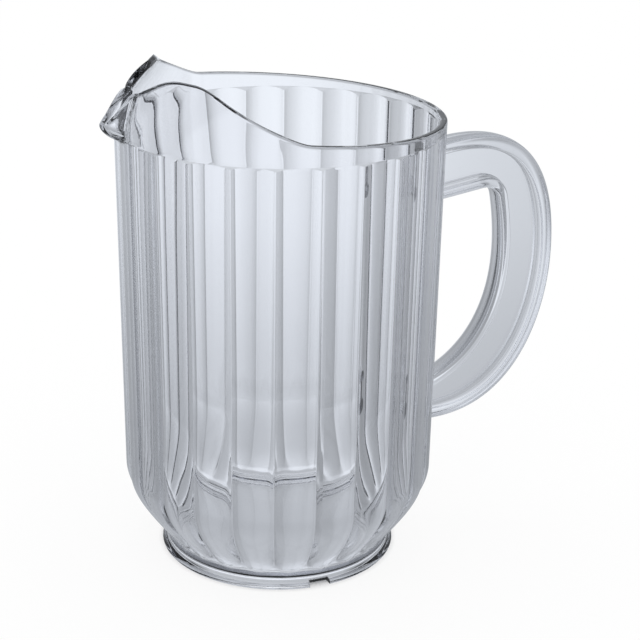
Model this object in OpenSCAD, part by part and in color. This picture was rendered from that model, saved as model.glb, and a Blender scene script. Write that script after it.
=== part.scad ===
// Clear moulded pitcher: reeded wall, pinched pouring collar, floor, foot ring and D handle.
// Millimetres, +Z up. The origin is on the vessel's axis at the table, the handle at +X and the spout at -X.

/* [Reeded wall] */
// Diameter over the reeds where they end below the collar
wall_d = 133.2; // [110:0.2:170]
// Height of the reed tops above the table
reed_top = 184.4; // [160:0.2:240]
// Draft of the wall, in degrees
draft = 0.6; // [0:0.1:2]
// Wall thickness at a reed's crest
wall_t = 3.2; // [2.6:0.1:5]
// Number of reeds round the wall
reeds = 24; // [12:4:36]
// Depth of the groove between two reeds
reed_depth = 1.5; // [0.5:0.1:2]
// Length of the slope that closes each groove at its top
reed_end = 2; // [1:0.5:6]

/* [Shoulder] */
// Diameter of the neck above the foot ring
neck_d = 96; // [80:1:104]
// Height of the shoulder, from the neck to the straight wall
shoulder_h = 32; // [20:1:50]
// Length of the rounded tongues that end the reeds above the neck
tongue_l = 10; // [5:0.5:16]

/* [Floor and foot] */
// Height of the foot ring
foot_h = 3.5; // [2.5:0.5:8]
// How far the foot ring stands out past the neck
foot_flare = 2; // [0.5:0.1:2.5]
// Width of the foot ring's underside
foot_w = 4.5; // [3:0.5:8]
// Rounding of the foot ring's outer edge
foot_round = 0.6; // [0.2:0.1:1.5]
// Thickness of the floor
floor_t = 3; // [2:0.5:6]
// Width of the drain notch in the foot ring
notch_w = 8.5; // [4:0.5:14]
// Height of the drain notch
notch_h = 2; // [0.5:0.1:2.5]

/* [Rim] */
// Rise of the rim above the reed tops, at the handle
rim_back = 3.3; // [2:0.1:12]
// Rise of the rim above the reed tops, where it starts to climb to the spout
rim_side = 8.1; // [4:0.1:20]
// Angle from the spout at which the climb starts
climb_angle = 79; // [74:1:110]
// Rounding of the rim's edges
rim_round = 0.8; // [0.2:0.1:1.2]

/* [Spout] */
// Rise of the two horns above the reed tops
horn_rise = 25.5; // [18:0.1:40]
// Angle from the spout to each horn
horn_angle = 30; // [24:1:42]
// Wall thickness at the rim of the horns and of the pouring channel
horn_t = 2.6; // [2.5:0.1:5]
// How far the horns are pinched in from the wall
pinch = 14.2; // [8:0.2:20]
// Angle from the spout at which the pinch starts
pinch_angle = 70; // [52:1:72]
// Drop of the rim from the horns to the pouring channel
channel_drop = 6.7; // [2:0.1:10]
// Width of the pouring channel between the horns
channel_w = 7; // [3:0.2:8]
// Length of the pouring channel, out to the lip
channel_l = 12.2; // [10:0.1:16]
// Rise of the pouring lip above the reed tops
lip_rise = 6.2; // [4:0.1:14]
// How far the beak reaches out past the wall
beak_reach = 8.1; // [5:0.1:11]
// Drop from the reed tops to the place where the beak leaves the wall
beak_drop = 1.7; // [1:0.1:12]

/* [Handle] */
// Drop from the reed tops to the handle's highest line
handle_drop = 11.2; // [8:0.2:30]
// Height of the handle
handle_h = 128; // [110:1:150]
// Reach of the grip past the wall
grip_reach = 60.6; // [50:0.2:80]
// Width of the grip, from the finger gap to the back
grip_w = 26.3; // [20:0.1:32]
// Height of the top arm, over the finger gap
top_arm = 24.3; // [18:0.1:32]
// Height of the low arm at the wall, under the finger gap
low_arm = 19.8; // [14:0.1:26]
// Thickness of the rails
grip_t = 10.6; // [8:0.2:13]
// Thickness of the web between the rails
web_t = 4; // [2:0.2:6]
// Width of the rail on the back of the handle
back_rail = 6; // [4:0.5:8]
// Width of the rail round the finger gap
gap_rail = 5; // [4:0.5:8]
// Gap between the handle's ends and the wall
joint_gap = 0.05; // [0:0.05:0.3]

/* [Hidden] */
$fn = 96;
clear_plastic = [0.85, 0.88, 0.91, 0.45];

neck_z = foot_h + floor_t;
shoulder_top = neck_z + shoulder_h;
half_reed = 180 / reeds;
foot_r = neck_d / 2 + foot_flare;
shoulder_power = 1.3;
handle_top = reed_top - handle_drop;
handle_low = handle_top - handle_h;

// Half angles of the pouring channel, outside and inside
channel_angle = asin((channel_w / 2 + horn_t) / (wall_d / 2));
inner_angle = asin(channel_w / wall_d);

// Angles round the axis: four columns to a reed, finer ones towards the spout at 180, and the channel's own
reed_step = half_reed / 2;
fine_step = reed_step / 3;
fine_reach = 4 * reed_step;
column_gap = 0.4;
channel_sides = concat(
    [for (turn = [90, 75, 60, 45]) channel_angle * sin(turn)],
    [for (turn = [90, 60, 30]) inner_angle * sin(turn)]
);
side_columns = concat(
    [for (a = [0 : reed_step : 180 - fine_reach - fine_step]) a],
    [for (a = [180 - fine_reach : fine_step : 180 - channel_angle - column_gap]) a],
    [for (p = channel_sides) 180 - p]
);
columns = concat(side_columns, [180], [for (k = [len(side_columns) - 1 : -1 : 1]) 360 - side_columns[k]]);

function clamp01(x) = max(0, min(1, x));
function smooth(x) = let(c = clamp01(x)) c * c * (3 - 2 * c);
function from_spout(a) = abs(a - 180);

// Radius over the crests of the straight wall
function crest_r(z) = wall_d / 2 - tan(draft) * (reed_top - z);

// Radius over the crests, with the shoulder
function outline_r(z) =
    z >= shoulder_top ? crest_r(z)
    : let(
        low = neck_d / 2 + reed_depth,
        rise = pow(sin(90 * clamp01((z - neck_z) / shoulder_h)), shoulder_power)
    ) low + (crest_r(shoulder_top) - low) * rise;

// Depth of the grooves: a reed is a round bulge that ends in a slope above and a tongue below
function groove(a, z) =
    let(
        across = (a + half_reed) % (2 * half_reed) - half_reed,
        side = pow(across / half_reed, 2),
        tongue = pow(clamp01((neck_z + tongue_l - z) / tongue_l), 2),
        top_end = clamp01((reed_top - z) / reed_end)
    ) reed_depth * top_end * min(1, side + tongue);

// The rim gathers from the horns to the sides of the pouring channel
gather = max(1, beak_reach + pinch - channel_l);
gather_power = 2.3;
function to_channel(p) = smooth((horn_angle - p) / (horn_angle - channel_angle));
function gathered(p) =
    gather * pow(to_channel(p), gather_power)
        - pinch * smooth((pinch_angle - p) / (pinch_angle - horn_angle));

// The channel's plan is half an ellipse: 1 at the pouring lip and 0 from the channel's sides on
function channel(p, half) = p < half ? sqrt(1 - pow(p / half, 2)) : 0;

// Plan offset of the rim from the wall: outwards at the beak, inwards at the horns
function rim_offset(p, half = channel_angle) =
    gathered(p) + (beak_reach + pinch - gather) * channel(p, half);

// Height of the rim at an angle from the spout
climb_power = 0.73;
sink = min(channel_drop, (horn_rise - lip_rise) / 2);
sink_power = 3.5;
function spout_rise(p, half) =
    horn_rise - sink * pow(to_channel(p), sink_power)
        - (horn_rise - sink - lip_rise) * smooth(channel(p, half));
function rim_z(p, half = channel_angle) = reed_top + (
    p >= climb_angle ? rim_back + (rim_side - rim_back) * pow((180 - p) / (180 - climb_angle), 2)
    : p >= horn_angle ? rim_side
        + (horn_rise - rim_side) * smooth(pow((climb_angle - p) / (climb_angle - horn_angle), climb_power))
    : spout_rise(p, half)
);

// The keel under the beak grows out of the wall and widens upwards to the lip
keel_z = reed_top - beak_drop;
keel_power = 2.2;
keel_foot = 0.35;
function keel(p, z, start, reach_at_rim) =
    let(up = clamp01((z - start) / (reed_top + lip_rise - start)))
    up <= 0 ? 0 : max(0, reach_at_rim) * (1 - pow(1 - up, keel_power))
        * smooth(2 - p / (channel_angle * (keel_foot + (1 - keel_foot) * up)));

function outer_r(a, z) =
    let(p = from_spout(a))
    outline_r(z) - groove(a, z) + keel(p, z, keel_z, rim_offset(p));

// Thickness is kept square to the surface on the slopes of the shoulder and of the gathered rim
slope_step = 0.5;
function inner_r(z) =
    let(slope = (outline_r(z + slope_step) - outline_r(z)) / slope_step)
    outline_r(z) - wall_t * sqrt(1 + slope * slope);
function edge_t(p) = wall_t + (horn_t - wall_t) * smooth((climb_angle - p) / (climb_angle - horn_angle));
function rim_t(p) =
    let(
        step = gathered(p + slope_step) - gathered(max(0, p - slope_step)),
        slope = step / (2 * slope_step * PI / 180 * wall_d / 2)
    ) edge_t(p) * sqrt(1 + slope * slope);

// Round shell from rings of points: up the outside, over the top and down the inside
module shell(rings) {
    cols = len(columns);
    rows = len(rings);
    polyhedron(
        points = [for (ring = rings) each ring],
        faces = [
            for (j = [0 : rows - 1], i = [0 : cols - 1])
                let(
                    up = (j + 1) % rows,
                    side = (i + 1) % cols,
                    p00 = j * cols + i,
                    p10 = up * cols + i,
                    p11 = up * cols + side,
                    p01 = j * cols + side
                ) each [[p00, p10, p11], [p00, p11, p01]]
        ]
    );
}
function on_ring(a, r, z) = [r * cos(a), r * sin(a), z];
function reversed(line) = [for (k = [len(line) - 1 : -1 : 0]) line[k]];

// Reeded wall
shoulder_rows = 10;
row_power = 1.25;
shoulder_zs = [for (k = [0 : shoulder_rows]) neck_z + shoulder_h * pow(k / shoulder_rows, row_power)];
// Rows from the place where a groove starts to end, or the beak to leave the wall
top_rows = 5;
top_start = reed_top - max(reed_end, beak_drop);
wall_zs = concat(
    shoulder_zs,
    [for (k = [0 : top_rows]) top_start + (reed_top - top_start) * k / top_rows]
);
function inner_ring(z) = [for (a = columns) on_ring(a, inner_r(z), z)];
module reeded_wall() color(clear_plastic)
    shell(concat(
        [for (z = wall_zs) [for (a = columns) on_ring(a, outer_r(a, z), z)]],
        [inner_ring(reed_top)],
        [for (z = reversed(shoulder_zs)) inner_ring(z)]
    ));

// Pouring collar: the wall leans in to the horns and flares out at the beak
collar_rows = 8;
lean_power = 1.6;
function lean(s) = pow(s, lean_power);
function pinched(p, half = channel_angle) = max(0, -rim_offset(p, half));
// Angle of the leaning wall from upright, at the rim
function rim_tilt(p) = atan2(lean_power * pinched(p, inner_angle), rim_z(p, inner_angle) - reed_top);
function outer_rim(a) =
    let(p = from_spout(a))
    [crest_r(rim_z(p)) + rim_offset(p), rim_z(p)];
function inner_rim(a) =
    let(p = from_spout(a), tilt = rim_tilt(p), z = rim_z(p, inner_angle))
    [crest_r(z) + rim_offset(p, inner_angle) - rim_t(p) * cos(tilt), z - edge_t(p) * sin(tilt)];
// The rim's edges are cut off by the rounding, across the wall and down along it
function rim_cut(a) =
    let(across = inner_rim(a) - outer_rim(a))
    rim_round * across / norm(across);
function rim_drop(a) = rim_round * cos(rim_tilt(from_spout(a)));
function collar_out(a, s) =
    let(
        p = from_spout(a),
        z = reed_top + (outer_rim(a)[1] - rim_drop(a) - reed_top) * s
    ) on_ring(a, outer_r(a, z) - pinched(p) * lean(s), z);
function collar_in(a, s) =
    let(
        p = from_spout(a),
        end = inner_rim(a),
        z = reed_top + (end[1] - rim_drop(a) - reed_top) * s,
        reach = end[0] - inner_r(end[1]),
        r = inner_r(z) + keel(p, z, reed_top, reach) - max(0, -reach) * lean(s)
    ) on_ring(a, r, z);
function rim_point(a, end, cut) = let(q = end + cut) on_ring(a, q[0], q[1]);
module pouring_collar() color(clear_plastic)
    shell(concat(
        [for (k = [0 : collar_rows]) [for (a = columns) collar_out(a, k / collar_rows)]],
        [[for (a = columns) rim_point(a, outer_rim(a), rim_cut(a))]],
        [[for (a = columns) rim_point(a, inner_rim(a), -rim_cut(a))]],
        [for (k = [collar_rows : -1 : 0]) [for (a = columns) collar_in(a, k / collar_rows)]]
    ));

// Floor plate, which the wall stands on
module floor_plate() color(clear_plastic)
    translate([0, 0, foot_h]) cylinder(d = neck_d, h = floor_t);

// Foot ring with its drain notch on the -Y side
module foot_ring() color(clear_plastic)
    difference() {
        rotate_extrude() polygon([
            [foot_r - foot_w, 0],
            [foot_r - foot_round, 0],
            [foot_r, foot_round],
            [neck_d / 2, foot_h],
            [foot_r - foot_w, foot_h]
        ]);
        translate([-notch_w / 2, -2 * foot_r, -notch_h]) cube([notch_w, 2 * foot_r, 2 * notch_h]);
    }

// Handle: a D loop in the XZ plane, with rails round a thinner web
curve_steps = 14;
function bezier(p) = [
    for (k = [0 : curve_steps])
        let(t = k / curve_steps, u = 1 - t)
        u * u * u * p[0] + 3 * u * u * t * p[1] + 3 * u * t * t * p[2] + t * t * t * p[3]
];
handle_x = crest_r((handle_top + handle_low) / 2);
grip_x = handle_x + grip_reach;
gap_x = grip_x - grip_w;
// The arms start inside the wall and are cut to the wall's surface
root_x = neck_d / 2 - wall_t;
// Back of the handle: the top arm sags to the wall, the crown is pulled up and the heel down
arm_sag = 2.2;
waist_drop = 55;
waist_pull = 31.5;
crown_pull = [26, 5.4];
crown_drop = 5;
heel_pull = [15, 2.7];
heel_rise = 0.3;
back_top = [handle_x, handle_top - arm_sag];
back_low = [handle_x, handle_low + heel_rise];
waist = [grip_x, handle_top - waist_drop];
back_line = concat(
    [[root_x, back_top[1]]],
    bezier([back_top, [grip_x - crown_pull[0], handle_top + crown_pull[1]],
        [grip_x, handle_top - crown_drop], waist]),
    bezier([waist, waist - [0, waist_pull],
        [grip_x - heel_pull[0], handle_low - heel_pull[1]], back_low]),
    [[root_x, back_low[1]]]
);
// Finger gap: a straight roof, a small corner and one long curve down to the wall
roof_sag = 3.9;
corner = [[-9, 0], [-5, 0.6], [-3.5, -1.5], [-2.7, -4]];
grip_pull = [5.8, -46];
gap_pull = [-7, 10];
gap_top = [gap_x, handle_top - top_arm];
gap_low = [handle_x, handle_low + low_arm];
roof_start = [handle_x, gap_top[1] - roof_sag];
gap_line = concat(
    [[root_x, roof_start[1]], roof_start],
    bezier([for (c = corner) gap_top + c]),
    bezier([gap_top + corner[3], gap_top + grip_pull, [gap_x, gap_low[1]] + gap_pull, gap_low]),
    [[root_x, gap_low[1]]]
);
// A line without its repeated points
same_point = 0.01;
function clean(line) = [
    for (k = [0 : len(line) - 1])
        if (k == 0 || norm(line[k] - line[max(0, k - 1)]) > same_point) line[k]
];
// A line moved sideways, to its right as it runs
function beside(line, d) = [
    for (k = [0 : len(line) - 1])
        let(
            run = line[min(len(line) - 1, k + 1)] - line[max(0, k - 1)],
            side = [run[1], -run[0]] / norm(run)
        ) line[k] + d * side
];
module upright(t) rotate([90, 0, 0]) linear_extrude(height = t, center = true) children();
// The stretch of wall that the handle's ends are cut to
module wall_behind_handle() {
    span = [for (a = [-2 * half_reed : reed_step : 2 * half_reed]) a];
    count = len(span) + 2;
    rows = len(wall_zs);
    ring = function(z) concat(
        [for (a = span) on_ring(a, outer_r(a + 360, z) + joint_gap, z)],
        [[root_x / 2, 2 * grip_t, z], [root_x / 2, -2 * grip_t, z]]
    );
    polyhedron(
        points = [for (z = wall_zs) each ring(z)],
        faces = concat(
            [[for (k = [0 : count - 1]) k]],
            [[for (k = [count - 1 : -1 : 0]) (rows - 1) * count + k]],
            [for (j = [0 : rows - 2], k = [0 : count - 1])
                let(n = (k + 1) % count, low = j * count, up = low + count)
                each [[low + k, up + k, up + n], [low + k, up + n, low + n]]]
        )
    );
}
module handle() color(clear_plastic) {
    back = clean(back_line);
    gap = clean(gap_line);
    difference() {
        upright(grip_t) polygon(concat(back, reversed(gap)));
        for (side = [-1, 1])
            translate([0, side * (web_t + grip_t) / 2, 0])
                upright(grip_t) polygon(concat(beside(back, back_rail), reversed(beside(gap, -gap_rail))));
        wall_behind_handle();
    }
}

reeded_wall();
pouring_collar();
floor_plate();
foot_ring();
handle();
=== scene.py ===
import math

import bpy
from mathutils import Matrix, Vector


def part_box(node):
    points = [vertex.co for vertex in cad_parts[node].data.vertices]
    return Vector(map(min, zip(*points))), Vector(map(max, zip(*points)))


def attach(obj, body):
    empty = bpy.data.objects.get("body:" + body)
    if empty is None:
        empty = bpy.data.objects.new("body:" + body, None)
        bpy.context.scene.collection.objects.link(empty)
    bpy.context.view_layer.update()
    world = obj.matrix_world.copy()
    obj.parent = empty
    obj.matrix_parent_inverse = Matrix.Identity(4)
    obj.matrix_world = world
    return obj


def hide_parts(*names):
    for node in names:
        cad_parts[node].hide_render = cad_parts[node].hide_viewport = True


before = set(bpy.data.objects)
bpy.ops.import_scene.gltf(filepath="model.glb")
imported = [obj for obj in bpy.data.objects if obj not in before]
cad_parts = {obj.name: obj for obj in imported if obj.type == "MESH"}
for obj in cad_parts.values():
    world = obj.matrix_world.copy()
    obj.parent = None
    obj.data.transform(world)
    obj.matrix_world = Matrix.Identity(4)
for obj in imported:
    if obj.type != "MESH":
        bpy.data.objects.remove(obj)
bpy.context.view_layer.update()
print("frame loaded:", ", ".join(sorted(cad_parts)))

mm = 0.001  # the pieces are worked out in millimetres, and Blender holds metres
sharpAngle = 30  # degrees between two faces from which their edge isn't smoothed


# Helpers

def clamp01(x):
    return max(0.0, min(1.0, x))


def smooth(x):
    c = clamp01(x)
    return c * c * (3 - 2 * c)


def mix(a, b, share):
    return a + (b - a) * share


def spread(start, end, count, power=1.0):
    return [mix(start, end, (k / count) ** power) for k in range(count + 1)]


def bezier(points, count):
    p0, p1, p2, p3 = (Vector(p) for p in points)
    line = []
    for k in range(count + 1):
        t = k / count
        u = 1 - t
        line.append(u ** 3 * p0 + 3 * u * u * t * p1 + 3 * u * t * t * p2 + t ** 3 * p3)
    return line


def arc(centre, radius, fromAngle, toAngle, count):
    points = []
    for angle in spread(math.radians(fromAngle), math.radians(toAngle), count):
        points.append((centre[0] + radius * math.cos(angle), centre[1] + radius * math.sin(angle)))
    return points


def linear(hexColour):
    channels = [int(hexColour[i:i + 2], 16) / 255 for i in (1, 3, 5)]
    return [c / 12.92 if c <= 0.04045 else ((c + 0.055) / 1.055) ** 2.4 for c in channels] + [1.0]


def meshPiece(name, points, faces):
    mesh = bpy.data.meshes.new(name)
    mesh.from_pydata([[c * mm for c in p] for p in points], [], faces)
    mesh.validate()
    mesh.shade_smooth()
    mesh.set_sharp_from_angle(angle=math.radians(sharpAngle))
    piece = bpy.data.objects.new(name, mesh)
    bpy.context.collection.objects.link(piece)
    return piece


def addNode(tree, kind, settings=None, links=None):
    node = tree.nodes.new(kind)
    for key, value in (settings or {}).items():
        if isinstance(key, int) or key in node.inputs:
            node.inputs[key].default_value = value
        else:
            setattr(node, key, value)
    for key, source in (links or {}).items():
        tree.links.new(source, node.inputs[key])
    return node


# Camera: the photograph's own view, worked out from the rim, the reeds and the foot

photoCamera = {
    "away": 667.0,  # mm from the vessel's axis, along the table
    "height": 355.3,  # mm above the table
    "azimuth": -21.2,  # degrees round from the side view, towards the spout
    "pitch": 20.945,  # degrees downwards
    "roll": 0.448,  # degrees
    "sensorWidth": 36,  # mm
    "focal": 1707.6,  # pixels
    "axisColumn": 278.9,  # pixel column that the lens points at
    "framePixels": 640,
}


def makeCamera(c):
    data = bpy.data.cameras.new("photoCamera")
    data.sensor_width = c["sensorWidth"]
    data.lens = data.sensor_width * c["focal"] / c["framePixels"]
    data.shift_x = 0.5 - c["axisColumn"] / c["framePixels"]
    camera = bpy.data.objects.new("photoCamera", data)
    bpy.context.collection.objects.link(camera)
    azimuth = math.radians(c["azimuth"])
    pitch = math.radians(c["pitch"])
    camera.location = (
        c["away"] * mm * math.sin(azimuth),
        -c["away"] * mm * math.cos(azimuth),
        c["height"] * mm,
    )
    along = math.cos(pitch)
    aim = Vector((-math.sin(azimuth) * along, math.cos(azimuth) * along, -math.sin(pitch)))
    roll = Matrix.Rotation(math.radians(c["roll"]), 4, "Z")
    turn = aim.to_track_quat("-Z", "Y").to_matrix().to_4x4() @ roll
    camera.rotation_euler = turn.to_euler()
    bpy.context.scene.camera = camera


makeCamera(photoCamera)
print("camera set")


# Clear plastic: polycarbonate, injection moulded in a polished steel mould. It is as glossy as glass, bends
# light more than glass does, is faintly grey-blue where it is thick, and its skin is very slightly wavy from
# the flow.

clearPlastic = {
    "tint": "#fdfdfe",
    "ior": 1.585,
    "depthTint": "#a8acba",  # what long ways through the plastic turn towards
    "depthDensity": 10.0,  # per metre
    "waveWidth": 22.0,  # mm across one wave of the skin
    "waveDepth": 0.012,  # mm
    "waveDetail": 1.0,
    "roughLow": 0.0,
    "roughHigh": 0.03,
    "hazeWidth": 9.0,  # mm across a patch of haze
    "hazeDetail": 3.0,
}


def makeClearPlastic(c):
    material = bpy.data.materials.new("mouldedPolycarbonate")
    material.use_nodes = True
    tree = material.node_tree
    shader = tree.nodes["Principled BSDF"]
    shader.inputs["Base Color"].default_value = linear(c["tint"])
    shader.inputs["IOR"].default_value = c["ior"]
    shader.inputs["Transmission Weight"].default_value = 1.0
    place = addNode(tree, "ShaderNodeTexCoord").outputs["Object"]
    waves = addNode(tree, "ShaderNodeTexNoise",
                    {"Scale": 1 / (c["waveWidth"] * mm), "Detail": c["waveDetail"]}, {"Vector": place})
    skin = addNode(tree, "ShaderNodeBump", {"Strength": 1.0, "Distance": c["waveDepth"] * mm},
                   {"Height": waves.outputs["Fac"]})
    haze = addNode(tree, "ShaderNodeTexNoise",
                   {"Scale": 1 / (c["hazeWidth"] * mm), "Detail": c["hazeDetail"]}, {"Vector": place})
    rough = addNode(tree, "ShaderNodeMapRange", {"To Min": c["roughLow"], "To Max": c["roughHigh"]},
                    {"Value": haze.outputs["Fac"]})
    tree.links.new(skin.outputs["Normal"], shader.inputs["Normal"])
    tree.links.new(rough.outputs["Result"], shader.inputs["Roughness"])
    body = addNode(tree, "ShaderNodeVolumeAbsorption",
                   {"Color": linear(c["depthTint"]), "Density": c["depthDensity"]})
    tree.links.new(body.outputs[0], tree.nodes["Material Output"].inputs["Volume"])
    return material


plastic = makeClearPlastic(clearPlastic)
print("plastic made")


# Vessel: reeded wall, pouring collar, floor and foot ring, one unbroken moulding, in mm and degrees

vessel = {
    "reeds": 24,
    "draft": 0.6,
    "wallThickness": 3.2,  # at a reed's crest
    "reedDepth": 1.5,
    "reedEnd": 2.0,  # slope that closes a groove at its top
    "grooveSharp": 0.2,  # share of the depth that lies in the steep bottom of a groove
    "groovePower": 9.0,
    "grooveRound": 0.035,  # share of half a reed over which a groove's bottom is rounded
    "shoulderHeight": 32.0,
    "shoulderPower": 1.3,
    "tongue": 10.0,  # rounded end of a reed above the neck
    "footWidth": 4.5,
    "footRound": 0.6,
    "footInnerRound": 1.2,
    "footPull": (0.6, 0.8),  # bends the foot's outer side inwards, and its top down from the neck
    "notchWidth": 8.5,
    "notchHeight": 2.0,
    "notchAngle": 270.0,
    "notchSlope": 0.12,  # degrees that a side of the notch takes
    "floorFillet": 3.0,
    "rimBack": 3.3,  # the rim's height above the reed tops, here and at the sides
    "rimSide": 8.1,
    "climbAngle": 79.0,  # from the spout, where the rim starts to climb to the horns
    "climbPower": 0.73,
    "rimRound": 1.1,
    "hornRise": 25.3,
    "hornAngle": 30.0,
    "hornThickness": 2.6,
    "pinch": 14.2,  # how far the horns stand inside the wall's circle
    "pinchAngle": 70.0,
    "spoutAngle": 180.0,
    "channelDrop": 6.7,  # from the horns down to the pouring channel's sides
    "channelWidth": 7.0,
    "channelLength": 12.2,
    "gatherPower": 2.3,
    "sinkPower": 3.5,
    "lipRise": 6.2,
    "beakReach": 8.1,
    "beakDrop": 1.7,  # from the reed tops down to the start of the keel under the beak
    "keelPower": 2.2,
    "keelFoot": 0.35,  # the keel's width where it starts, as a share of its width at the lip
    "leanPower": 1.6,
    "slopeStep": 0.5,  # over which a slope is measured
    # columns of the mesh
    "fromGroove": (0, 0.012, 0.03, 0.06, 0.11, 0.19, 0.31, 0.46, 0.64, 0.82),  # shares of half a reed
    "channelColumns": 15,
    "spoutColumns": 28,
    "spoutFine": 15.0,  # from the spout's middle, as far as its columns go
    "columnGap": 0.04,  # least distance of two columns
    # rows of the mesh, from the middle of the underside to the middle of the floor
    "underRings": (12.0, 26.0, 38.0),  # radii
    "innerRoundRows": 5,
    "footRoundRows": 4,
    "footSideRows": 8,
    "shoulderRows": 26,
    "shoulderSpread": 1.2,  # more than 1 has closer rows at the neck
    "wallRows": 5,
    "fineTop": 10.0,  # below the reed tops, with closer rows
    "fineRows": 9,
    "creaseLeast": 0.06,
    "ledgeRows": 4,
    "collarRows": 23,
    "rimRoundRows": 5,
    "insideRows": 20,
    "filletRows": 8,
    "floorRings": (36.0, 24.0, 12.0),  # radii
}
halfReed = 180 / vessel["reeds"]
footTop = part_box("foot_ring")[1].z / mm
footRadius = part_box("foot_ring")[1].y / mm
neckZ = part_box("floor_plate")[1].z / mm
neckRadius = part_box("floor_plate")[1].y / mm
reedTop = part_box("reeded_wall")[1].z / mm
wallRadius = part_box("reeded_wall")[1].x / mm
shoulderTop = neckZ + vessel["shoulderHeight"]
keelStart = reedTop - vessel["beakDrop"]
channelHalf = vessel["channelWidth"] / 2
channelAngle = math.degrees(math.asin((channelHalf + vessel["hornThickness"]) / wallRadius))
innerAngle = math.degrees(math.asin(channelHalf / wallRadius))
notchHalf = math.degrees(math.asin(vessel["notchWidth"] / 2 / (footRadius - vessel["footWidth"] / 2)))
gather = vessel["beakReach"] + vessel["pinch"] - vessel["channelLength"]


def fromSpout(angle):
    return abs(angle - vessel["spoutAngle"])


def crestRadius(z):
    return wallRadius - math.tan(math.radians(vessel["draft"])) * (reedTop - z)


def outlineRadius(z):
    if z >= shoulderTop:
        return crestRadius(z)
    low = neckRadius + vessel["reedDepth"]
    up = clamp01((z - neckZ) / vessel["shoulderHeight"])
    rise = math.sin(math.pi / 2 * up) ** vessel["shoulderPower"]
    return mix(low, crestRadius(shoulderTop), rise)


def reedShare(angle):
    across = abs((angle + halfReed) % (2 * halfReed) - halfReed) / halfReed
    along = max(0.0, 1 - math.hypot(1 - across, vessel["grooveRound"]))
    return mix(along ** 2, along ** vessel["groovePower"], vessel["grooveSharp"])


def grooveDepth(angle, z):
    tongue = clamp01((neckZ + vessel["tongue"] - z) / vessel["tongue"]) ** 2
    ledge = clamp01((reedTop - z) / vessel["reedEnd"])
    return vessel["reedDepth"] * min(1.0, reedShare(angle) + tongue, ledge)


def toChannel(p):
    return smooth((vessel["hornAngle"] - p) / (vessel["hornAngle"] - channelAngle))


# the rim gathers from the horns to the sides of the pouring channel, whose plan is half an ellipse
def gathered(p):
    inwards = smooth((vessel["pinchAngle"] - p) / (vessel["pinchAngle"] - vessel["hornAngle"]))
    return gather * toChannel(p) ** vessel["gatherPower"] - vessel["pinch"] * inwards


def channel(p, half):
    return math.sqrt(1 - (p / half) ** 2) if p < half else 0.0


def rimOffset(p, half):
    return gathered(p) + vessel["channelLength"] * channel(p, half)


def rimHeight(p, half):
    if p >= vessel["climbAngle"]:
        rise = mix(vessel["rimBack"], vessel["rimSide"], ((180 - p) / (180 - vessel["climbAngle"])) ** 2)
    elif p >= vessel["hornAngle"]:
        climb = (vessel["climbAngle"] - p) / (vessel["climbAngle"] - vessel["hornAngle"])
        rise = mix(vessel["rimSide"], vessel["hornRise"], smooth(climb ** vessel["climbPower"]))
    else:
        sunk = vessel["hornRise"] - vessel["channelDrop"] * toChannel(p) ** vessel["sinkPower"]
        rise = mix(sunk, vessel["lipRise"], smooth(channel(p, half)))
    return reedTop + rise


def keel(p, z, start, reach):
    up = clamp01((z - start) / (reedTop + vessel["lipRise"] - start))
    if up <= 0 or reach <= 0:
        return 0.0
    width = channelAngle * mix(vessel["keelFoot"], 1.0, up)
    return reach * (1 - (1 - up) ** vessel["keelPower"]) * smooth(2 - p / width)


def outerRadius(angle, z):
    p = fromSpout(angle)
    return outlineRadius(z) - grooveDepth(angle, z) + keel(p, z, keelStart, rimOffset(p, channelAngle))


def innerRadius(z):
    step = vessel["slopeStep"]
    slope = (outlineRadius(z + step) - outlineRadius(z)) / step
    return outlineRadius(z) - vessel["wallThickness"] * math.hypot(1, slope)


def rimPlaces(p):
    step = vessel["slopeStep"]
    turn = (gathered(p + step) - gathered(max(0.0, p - step))) / (2 * math.radians(step) * wallRadius)
    climb = (vessel["climbAngle"] - p) / (vessel["climbAngle"] - vessel["hornAngle"])
    thickness = mix(vessel["wallThickness"], vessel["hornThickness"], smooth(climb))
    outerTop, innerTop = rimHeight(p, channelAngle), rimHeight(p, innerAngle)
    tilt = math.atan2(vessel["leanPower"] * max(0.0, -rimOffset(p, innerAngle)), innerTop - reedTop)
    outer = Vector((crestRadius(outerTop) + rimOffset(p, channelAngle), outerTop))
    inner = Vector((crestRadius(innerTop) + rimOffset(p, innerAngle), innerTop))
    inner -= Vector((math.hypot(1, turn) * math.cos(tilt), math.sin(tilt))) * thickness
    return tilt, outer, inner


def roundedCorner(start, corner, end):
    points = []
    for t in spread(0, 1, vessel["rimRoundRows"]):
        points.append((1 - t) ** 2 * start + 2 * t * (1 - t) * corner + t * t * end)
    return points


def collarSection(angle):
    p = fromSpout(angle)
    tilt, outer, inner = rimPlaces(p)
    cut = vessel["rimRound"] * (inner - outer).normalized()
    drop = vessel["rimRound"] * math.cos(tilt)
    pinched = max(0.0, -rimOffset(p, channelAngle))
    reach = inner.x - innerRadius(inner.y)
    outside = []
    inside = []
    for s in spread(0, 1, vessel["collarRows"]):
        lean = s ** vessel["leanPower"]
        z = mix(reedTop, outer.y - drop, s)
        outside.append(Vector((outerRadius(angle, z) - pinched * lean, z)))
        z = mix(reedTop, inner.y - drop, s)
        inside.append(Vector((innerRadius(z) + keel(p, z, reedTop, reach) - max(0.0, -reach) * lean, z)))
    outerEdge = roundedCorner(outside[-1], outer, outer + cut)
    innerEdge = roundedCorner(inner - cut, inner, inside[-1])
    return outside[:-1] + outerEdge + innerEdge + inside[-2::-1]


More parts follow.
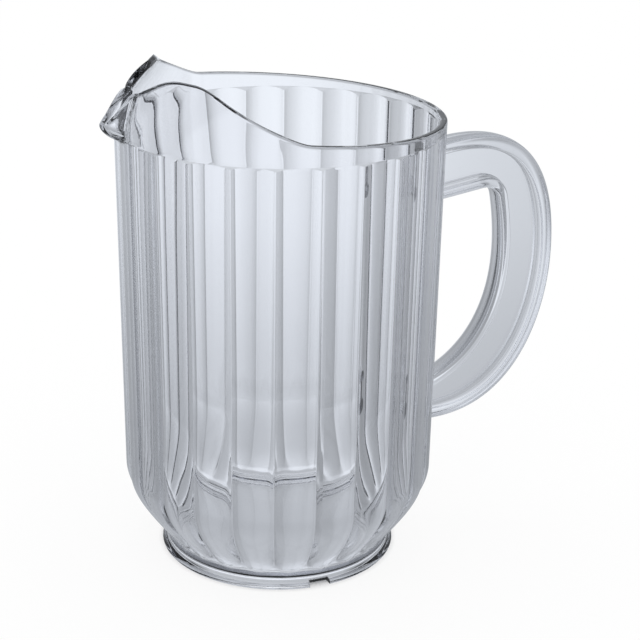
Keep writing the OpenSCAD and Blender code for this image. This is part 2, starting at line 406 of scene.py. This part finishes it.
def vesselColumns():
    angles = []
    for reed in range(vessel["reeds"]):
        groove = (2 * reed + 1) * halfReed
        angles += [groove + side * share * halfReed for side in (-1, 1) for share in vessel["fromGroove"]]
        angles.append(2 * reed * halfReed)
    middle = vessel["spoutAngle"]
    for side in (-1, 1):
        for turn in spread(0, math.pi / 2, vessel["channelColumns"]):
            angles += [middle + side * half * math.sin(turn) for half in (channelAngle, innerAngle)]
        beside = spread(channelAngle, vessel["spoutFine"], vessel["spoutColumns"])
        angles += [middle + side * p for p in beside]
        angles += [vessel["notchAngle"] + side * (notchHalf + edge) for edge in (0, vessel["notchSlope"])]
    kept = [0.0]
    for angle in sorted(a % 360 for a in angles):
        if angle - kept[-1] > vessel["columnGap"]:
            kept.append(angle)
    return kept


def outerRows(angle):
    # one row follows the crease where a groove's bottom meets the slope that closes it
    crease = reedTop - vessel["reedEnd"] * max(vessel["creaseLeast"], reedShare(angle))
    fineStart = reedTop - vessel["fineTop"]
    rows = spread(neckZ, shoulderTop, vessel["shoulderRows"], vessel["shoulderSpread"])
    rows += spread(shoulderTop, fineStart, vessel["wallRows"])[1:]
    rows += spread(fineStart, crease, vessel["fineRows"])[1:]
    return rows + spread(crease, reedTop, vessel["ledgeRows"])[1:]


def footSection():
    inside = footRadius - vessel["footWidth"]
    soft = vessel["footInnerRound"]
    edge = vessel["footRound"]
    inwards, down = vessel["footPull"]
    side = (
        (footRadius, edge),
        (footRadius - inwards, footTop / 2),
        (neckRadius, footTop - down),
        (neckRadius, footTop),
    )
    section = [(radius, footTop) for radius in vessel["underRings"]]
    section += arc((inside - soft, footTop - soft), soft, 90, 0, vessel["innerRoundRows"])
    section += arc((inside + edge / 2, edge / 2), edge / 2, 180, 270, vessel["footRoundRows"])
    section += [(footRadius - vessel["footWidth"] / 2, 0.0)]
    section += arc((footRadius - edge, edge), edge, 270, 360, vessel["footRoundRows"])
    section += [(p.x, p.y) for p in bezier(side, vessel["footSideRows"])[1:]]
    return section + [(neckRadius, mix(footTop, neckZ, 0.5))]


def notched(section):
    top = vessel["notchHeight"]
    low = [k for k, (r, z) in enumerate(section) if z < top]
    last, after = section[low[-1]], section[low[-1] + 1]
    inside = section[low[0]][0]
    outside = mix(last[0], after[0], (top - last[1]) / (after[1] - last[1]))
    ceiling = [(r, top) for r in spread(inside, outside, len(low) - 1)]
    return section[:low[0]] + ceiling + section[low[-1] + 1:]


def insideSection():
    fillet = vessel["floorFillet"]
    start = neckZ + fillet
    zs = spread(reedTop, shoulderTop, vessel["wallRows"])[1:]
    zs += spread(start, shoulderTop, vessel["insideRows"], vessel["shoulderSpread"])[-2::-1]
    section = [(innerRadius(z), z) for z in zs]
    section += arc((section[-1][0] - fillet, start), fillet, 0, -90, vessel["filletRows"])[1:]
    return section + [(radius, neckZ) for radius in vessel["floorRings"]]


def makeVessel():
    columns = vesselColumns()
    foot = footSection()
    footInNotch = notched(foot)
    inside = insideSection()
    sections = []
    for angle in columns:
        inNotch = abs(angle - vessel["notchAngle"]) < notchHalf + vessel["notchSlope"] / 2
        section = list(footInNotch if inNotch else foot)
        section += [(outerRadius(angle, z), z) for z in outerRows(angle)[:-1]]
        section += [tuple(p) for p in collarSection(angle)]
        sections.append(section + inside)
    rows = len(sections[0])
    points = [(0.0, 0.0, footTop), (0.0, 0.0, neckZ)]  # the middles of the underside and the floor
    for angle, section in zip(columns, sections):
        c, s = math.cos(math.radians(angle)), math.sin(math.radians(angle))
        points += [(r * c, r * s, z) for r, z in section]
    faces = []
    count = len(columns)
    for i in range(count):
        here, there = 2 + i * rows, 2 + (i + 1) % count * rows
        faces.append((0, there, here))
        faces.append((1, here + rows - 1, there + rows - 1))
        faces += [(here + j, there + j, there + j + 1, here + j + 1) for j in range(rows - 1)]
    piece = meshPiece("vessel", points, faces)
    piece.data.materials.append(plastic)
    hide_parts("reeded_wall", "pouring_collar", "floor_plate", "foot_ring")
    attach(piece, "root")
    print("vessel:", len(points), "points,", count, "columns")


makeVessel()


# Handle: a D loop of two round rails with a thin web between them, in mm

grip = {
    "drop": 11.2,  # from the reed tops to its highest line
    "height": 128.0,
    "reach": 60.6,
    "width": 26.3,
    "topArm": 24.3,
    "lowArm": 19.8,
    "thickness": 10.6,
    "web": 4.0,
    "backRail": 6.0,
    "gapRail": 5.0,
    "backNose": 3.4,  # depth of the rounding of a rail's face
    "gapNose": 2.8,
    "nosePower": 2.7,  # 2 is an ellipse, more is squarer
    "railRound": 0.8,  # edge towards the web
    "railDraft": 0.15,  # slope of a rail's side towards the web
    "webFillet": 0.4,
    "webMargins": (0.12, 0.4),  # rows beside the fillet that keep the web flat
    "jointGap": 0.05,
    # pulls that bend its back
    "armSag": 2.2,
    "waistDrop": 55.0,
    "waistPull": 31.5,
    "crownPull": (26.0, 5.4),
    "crownDrop": 5.0,
    "heelPull": (15.0, 2.7),
    "heelRise": 0.3,
    # and the edge of its finger gap
    "roofSag": 3.9,
    "corner": ((-9.0, 0.0), (-5.0, 0.6), (-3.5, -1.5), (-2.7, -4.0)),
    "gripPull": (5.8, -46.0),
    "gapPull": (-7.0, 10.0),
    "armStart": 1.5,  # first station off the wall
    "stations": 180,
    "linePoints": 240,
    "cornerPoints": 80,
    "noseRows": 16,
    "roundRows": 7,
    "filletRows": 8,
    "endRows": 6,  # across an end, so that it follows the round wall
}


def lengths(line):
    sums = [0.0]
    for a, b in zip(line, line[1:]):
        sums.append(sums[-1] + (b - a).length)
    return sums


def turns(line, centre):
    angles = [math.atan2((p - centre).x, (p - centre).y) for p in line]
    return [(a - angles[0]) / (angles[-1] - angles[0]) for a in angles]


def placed(line, measure, wanted):
    points = []
    k = 0
    for want in wanted:
        while k < len(line) - 2 and measure[k + 1] < want:
            k += 1
        run = measure[k + 1] - measure[k]
        points.append(line[k].lerp(line[k + 1], clamp01((want - measure[k]) / run)))
    return points


def sideways(line):
    sides = []
    for k in range(len(line)):
        run = line[min(len(line) - 1, k + 1)] - line[max(0, k - 1)]
        sides.append(Vector((run.y, -run.x)).normalized())
    return sides


def handleLines():
    top = reedTop - grip["drop"]
    low = top - grip["height"]
    wallX = crestRadius((top + low) / 2)
    gripX = wallX + grip["reach"]
    startX = wallX + grip["armStart"]
    fine = grip["linePoints"]
    waist = Vector((gripX, top - grip["waistDrop"]))
    crown = Vector((gripX - grip["crownPull"][0], top + grip["crownPull"][1]))
    heel = Vector((gripX - grip["heelPull"][0], low - grip["heelPull"][1]))
    backLow = Vector((wallX, low + grip["heelRise"]))
    back = bezier(((wallX, top - grip["armSag"]), crown, (gripX, top - grip["crownDrop"]), waist), fine)
    back += bezier((waist, waist - Vector((0, grip["waistPull"])), heel, backLow), fine)[1:]
    gapTop = Vector((gripX - grip["width"], top - grip["topArm"]))
    gapLow = Vector((wallX, low + grip["lowArm"]))
    corner = [gapTop + Vector(c) for c in grip["corner"]]
    roof = Vector((wallX, gapTop.y - grip["roofSag"]))
    gap = [roof.lerp(corner[0], share) for share in spread(0, 1, grip["cornerPoints"])[:-1]]
    gap += bezier(corner, grip["cornerPoints"])
    pull = Vector((gapTop.x, gapLow.y)) + Vector(grip["gapPull"])
    gap += bezier((corner[-1], gapTop + Vector(grip["gripPull"]), pull, gapLow), fine)[1:]
    back, gap = ([p for p in line if p.x >= startX] for line in (back, gap))
    gapLengths = lengths(gap)
    gap = placed(gap, gapLengths, spread(0, gapLengths[-1], grip["stations"]))
    centre = Vector((wallX, (roof.y + gapLow.y) / 2))
    return placed(back, turns(back, centre), turns(gap, centre)), gap


def railSide(width, nose):
    half = grip["thickness"] / 2
    fillet = grip["webFillet"]
    edge = grip["railRound"]
    power = 2 / grip["nosePower"]
    side = []
    for turn in spread(0, math.pi / 2, grip["noseRows"]):
        side.append((nose * (1 - math.cos(turn) ** power), half * math.sin(turn) ** power))
    side += arc((width - edge, half - edge), edge, 90, 0, grip["roundRows"])
    foot = width + grip["railDraft"] + fillet
    side += arc((foot, grip["web"] / 2 + fillet), fillet, 180, 270, grip["filletRows"])
    side += [(foot + margin, grip["web"] / 2) for margin in grip["webMargins"]]
    return side


def onWall(y, z):
    angle = math.degrees(math.asin(y / crestRadius(z)))
    return outerRadius(angle % 360, z) * math.cos(math.radians(angle)) + grip["jointGap"]


def strip(a, b, flip):
    if len(a) == 1:
        made = [(a[0], b[k + 1], b[k]) for k in range(len(b) - 1)]
    elif len(b) == 1:
        made = [(a[k], a[k + 1], b[0]) for k in range(len(a) - 1)]
    else:
        made = [(a[k], a[k + 1], b[k + 1], b[k]) for k in range(len(a) - 1)]
    return [tuple(reversed(face)) for face in made] if flip else made


def closeEnds(points, faces, rings, half, around):
    for first, flip in ((0, True), ((len(rings) - 1) * around, False)):
        previous = None
        for j, (rail, d, y) in enumerate(half):
            row = [first + j]
            z = points[first + j][2]
            if y > 0:
                for share in spread(0, 1, grip["endRows"])[1:-1]:
                    points.append((onWall(mix(y, -y, share), z), mix(y, -y, share), z))
                    row.append(len(points) - 1)
                row.append(first + around - j)
            if previous is not None:
                faces.extend(strip(previous, row, flip))
            previous = row


def makeHandle():
    back, gap = handleLines()
    backSide, gapSide = sideways(back), sideways(gap)
    backProfile = railSide(grip["backRail"], grip["backNose"])
    gapProfile = railSide(grip["gapRail"], grip["gapNose"])
    half = [("back", d, y) for d, y in backProfile] + [("gap", d, y) for d, y in reversed(gapProfile)]
    loop = half + [(rail, d, -y) for rail, d, y in reversed(half) if y > 0]
    rings = []
    for k in range(len(back)):
        ring = []
        for rail, d, y in loop:
            spot = back[k] + d * backSide[k] if rail == "back" else gap[k] - d * gapSide[k]
            ring.append((spot.x, y, spot.y))
        rings.append(ring)
    top, low = ([(onWall(y, z), y, z) for x, y, z in ring] for ring in (rings[0], rings[-1]))
    rings = [top] + rings + [low]
    points = [p for ring in rings for p in ring]
    around = len(loop)
    faces = []
    for k in range(len(rings) - 1):
        for j in range(around):
            n = (j + 1) % around
            faces.append((k * around + j, (k + 1) * around + j, (k + 1) * around + n, k * around + n))
    closeEnds(points, faces, rings, half, around)
    piece = meshPiece("handle_loop", points, faces)
    piece.data.materials.append(plastic)
    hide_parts("handle")
    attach(piece, "root")
    print("handle:", len(points), "points")


makeHandle()


# Stage: a pale floor, a soft room and one softbox above

studio = {
    "white": "#ffffff",  # of the floor, and of what the camera sees behind the object
    "floorHalf": 4000.0,  # mm
    "floorDrop": 0.05,  # mm, keeps the floor clear of the foot's underside
    "floorGlow": 0.9,  # share of the floor's white that shadows leave alone
    "footShade": (45.0, 52.0),  # mm from the axis over which that share starts: a painted shade, as the glow is taken away under the foot, where the floor shows only its lit paper with the real shadow
    "airColour": "#f3f8ff",  # white walls in cool daylight
    # brightness of the room, from straight down to straight up, as (sine of the height, brightness)
    "surround": ((-1.0, 0.85), (-0.85, 0.7), (-0.75, 0.56), (-0.6, 0.54), (-0.5, 0.55), (-0.42, 0.64),
                 (-0.35, 0.83), (-0.3, 0.95), (-0.25, 1.0), (-0.12, 1.0), (-0.05, 0.88), (0.05, 0.84),
                 (0.2, 0.76), (0.4, 0.66), (0.6, 0.55), (0.85, 0.75), (1.0, 0.9)),
    # and round the table, as (degrees to the right of straight behind the object, share of that brightness),
    # with a dark strip at each side, which draws the thin outlines of clear plastic
    "around": ((-180.0, 1.0), (-110.0, 0.95), (-104.0, 0.12), (-88.0, 0.12), (-74.0, 0.52), (-48.0, 0.52),
               (-36.0, 0.6), (-24.0, 0.76), (-16.0, 0.9), (-6.0, 1.0), (1.0, 0.97), (7.5, 0.74),
               (13.0, 0.62), (20.0, 0.46), (32.0, 0.43), (45.0, 0.54), (60.0, 0.6), (74.0, 0.6),
               (88.0, 0.12), (104.0, 0.12), (110.0, 0.95), (180.0, 1.0)),
    # sines of the height between which those shares come to count in full, and what they count below that
    "tableEven": (-0.6, -0.36, 0.3),
    "bounces": 24,
    "turnsBack": 12,  # of those, how often light may be turned back inside the plastic
    "softboxPlace": (0.0, 350.0, 1300.0),  # mm
    "softboxAim": (0.0, 0.0, 100.0),  # mm
    "softboxSize": (900.0, 700.0),  # mm
    "softboxPower": 1.0,  # watts
}


# Floor: white background paper, rolled out. It is matt and evenly bright, with a painted shade in a disc
# under the foot, and elsewhere shows only a faint shadow.
def makeFloor(c):
    half = c["floorHalf"]
    z = -c["floorDrop"]
    corners = [(-half, -half, z), (half, -half, z), (half, half, z), (-half, half, z)]
    floor = meshPiece("floor", corners, [(0, 1, 2, 3)])
    material = bpy.data.materials.new("whitePaper")
    material.use_nodes = True
    tree = material.node_tree
    tree.nodes.remove(tree.nodes["Principled BSDF"])
    paper = addNode(tree, "ShaderNodeBsdfDiffuse", {"Color": linear(c["white"])})
    glow = addNode(tree, "ShaderNodeEmission", {"Color": linear(c["white"]), "Strength": 1.0})
    rays = addNode(tree, "ShaderNodeLightPath").outputs
    place = addNode(tree, "ShaderNodeTexCoord").outputs["Object"]
    away = addNode(tree, "ShaderNodeVectorMath", {"operation": "LENGTH"}, {0: place})
    # painted shade: the glow fades out towards the axis, so under the foot the floor is only lit paper, which
    # shows the real shadow and renders darker
    near, far = c["footShade"]
    glowing = addNode(tree, "ShaderNodeMapRange",
                      {"From Min": near * mm, "From Max": far * mm, "To Max": c["floorGlow"]},
                      {"Value": away.outputs["Value"]})
    share = addNode(tree, "ShaderNodeMath", {"operation": "MULTIPLY"},
                    {0: rays["Is Camera Ray"], 1: glowing.outputs["Result"]})
    mixed = addNode(tree, "ShaderNodeMixShader", {},
                    {0: share.outputs[0], 1: paper.outputs[0], 2: glow.outputs[0]})
    tree.links.new(mixed.outputs[0], tree.nodes["Material Output"].inputs["Surface"])
    floor.data.materials.append(material)
    floor.visible_transmission = False  # the plastic looks out at the room, not at the floor
    floor.visible_glossy = False


# the camera and the floor get plain white, and the plastic gets the room, so that it shows bands and outlines
def makeWorld(c):
    world = bpy.data.worlds.new("studio")
    bpy.context.scene.world = world
    world.use_nodes = True
    tree = world.node_tree
    place = addNode(tree, "ShaderNodeTexCoord").outputs["Generated"]
    way = addNode(tree, "ShaderNodeSeparateXYZ", {}, {0: place}).outputs
    turn = addNode(tree, "ShaderNodeMath", {"operation": "ARCTAN2"}, {0: way["X"], 1: way["Y"]})
    behind = math.radians(photoCamera["azimuth"])
    fromBack = addNode(tree, "ShaderNodeMath", {"operation": "ADD", 1: behind}, {0: turn.outputs[0]})
    wrapped = addNode(tree, "ShaderNodeMath", {"operation": "WRAP", 1: math.pi, 2: -math.pi},
                      {0: fromBack.outputs[0]})
    ramps = []
    for source, end, levels, endLevel, colour in (
        (way["Z"], 1.0, c["surround"], 1.0, c["airColour"]),
        (wrapped.outputs[0], math.pi, c["around"], 180.0, c["white"]),
    ):
        share = addNode(tree, "ShaderNodeMapRange", {"From Min": -end, "From Max": end}, {"Value": source})
        ramp = addNode(tree, "ShaderNodeValToRGB", {}, {"Fac": share.outputs["Result"]})
        stops = ramp.color_ramp.elements
        while len(stops) < len(levels):
            stops.new(0.5)
        for stop, (spot, level) in zip(stops, levels):
            stop.position = (spot + endLevel) / (2 * endLevel)
            stop.color = [level * part for part in linear(colour)[:3]] + [1.0]
        ramps.append(ramp.outputs["Color"])
    walls, side = ramps
    low, high, least = c["tableEven"]
    weight = addNode(tree, "ShaderNodeMapRange", {"From Min": low, "From Max": high, "To Min": least},
                     {"Value": way["Z"]})
    less = addNode(tree, "ShaderNodeMath", {"operation": "SUBTRACT", 1: 1.0}, {0: side})
    dimmed = addNode(tree, "ShaderNodeMath", {"operation": "MULTIPLY_ADD", 2: 1.0},
                     {0: less.outputs[0], 1: weight.outputs["Result"]})
    room = tree.nodes["Background"]
    tree.links.new(walls, room.inputs["Color"])
    tree.links.new(dimmed.outputs[0], room.inputs["Strength"])
    white = addNode(tree, "ShaderNodeBackground", {"Color": linear(c["white"]), "Strength": 1.0})
    rays = addNode(tree, "ShaderNodeLightPath").outputs
    plain = addNode(tree, "ShaderNodeMath", {"operation": "MAXIMUM"},
                    {0: rays["Is Camera Ray"], 1: rays["Is Diffuse Ray"]})
    mixed = addNode(tree, "ShaderNodeMixShader", {},
                    {0: plain.outputs[0], 1: room.outputs[0], 2: white.outputs[0]})
    tree.links.new(mixed.outputs[0], tree.nodes["World Output"].inputs["Surface"])


def makeSoftbox(c):
    light = bpy.data.lights.new("topSoftbox", "AREA")
    light.shape = "RECTANGLE"
    light.size, light.size_y = (side * mm for side in c["softboxSize"])
    light.energy = c["softboxPower"]
    lamp = bpy.data.objects.new("topSoftbox", light)
    bpy.context.collection.objects.link(lamp)
    lamp.location = Vector(c["softboxPlace"]) * mm
    aim = Vector(c["softboxAim"]) * mm - lamp.location
    lamp.rotation_euler = aim.to_track_quat("-Z", "Y").to_euler()


makeFloor(studio)
makeWorld(studio)
makeSoftbox(studio)
bpy.context.scene.view_settings.view_transform = "Standard"
paths = bpy.context.scene.cycles  # light is turned back many times inside clear plastic before it leaves
paths.max_bounces = studio["bounces"]
paths.glossy_bounces = studio["turnsBack"]
paths.transmission_bounces = studio["bounces"]
print("stage set")
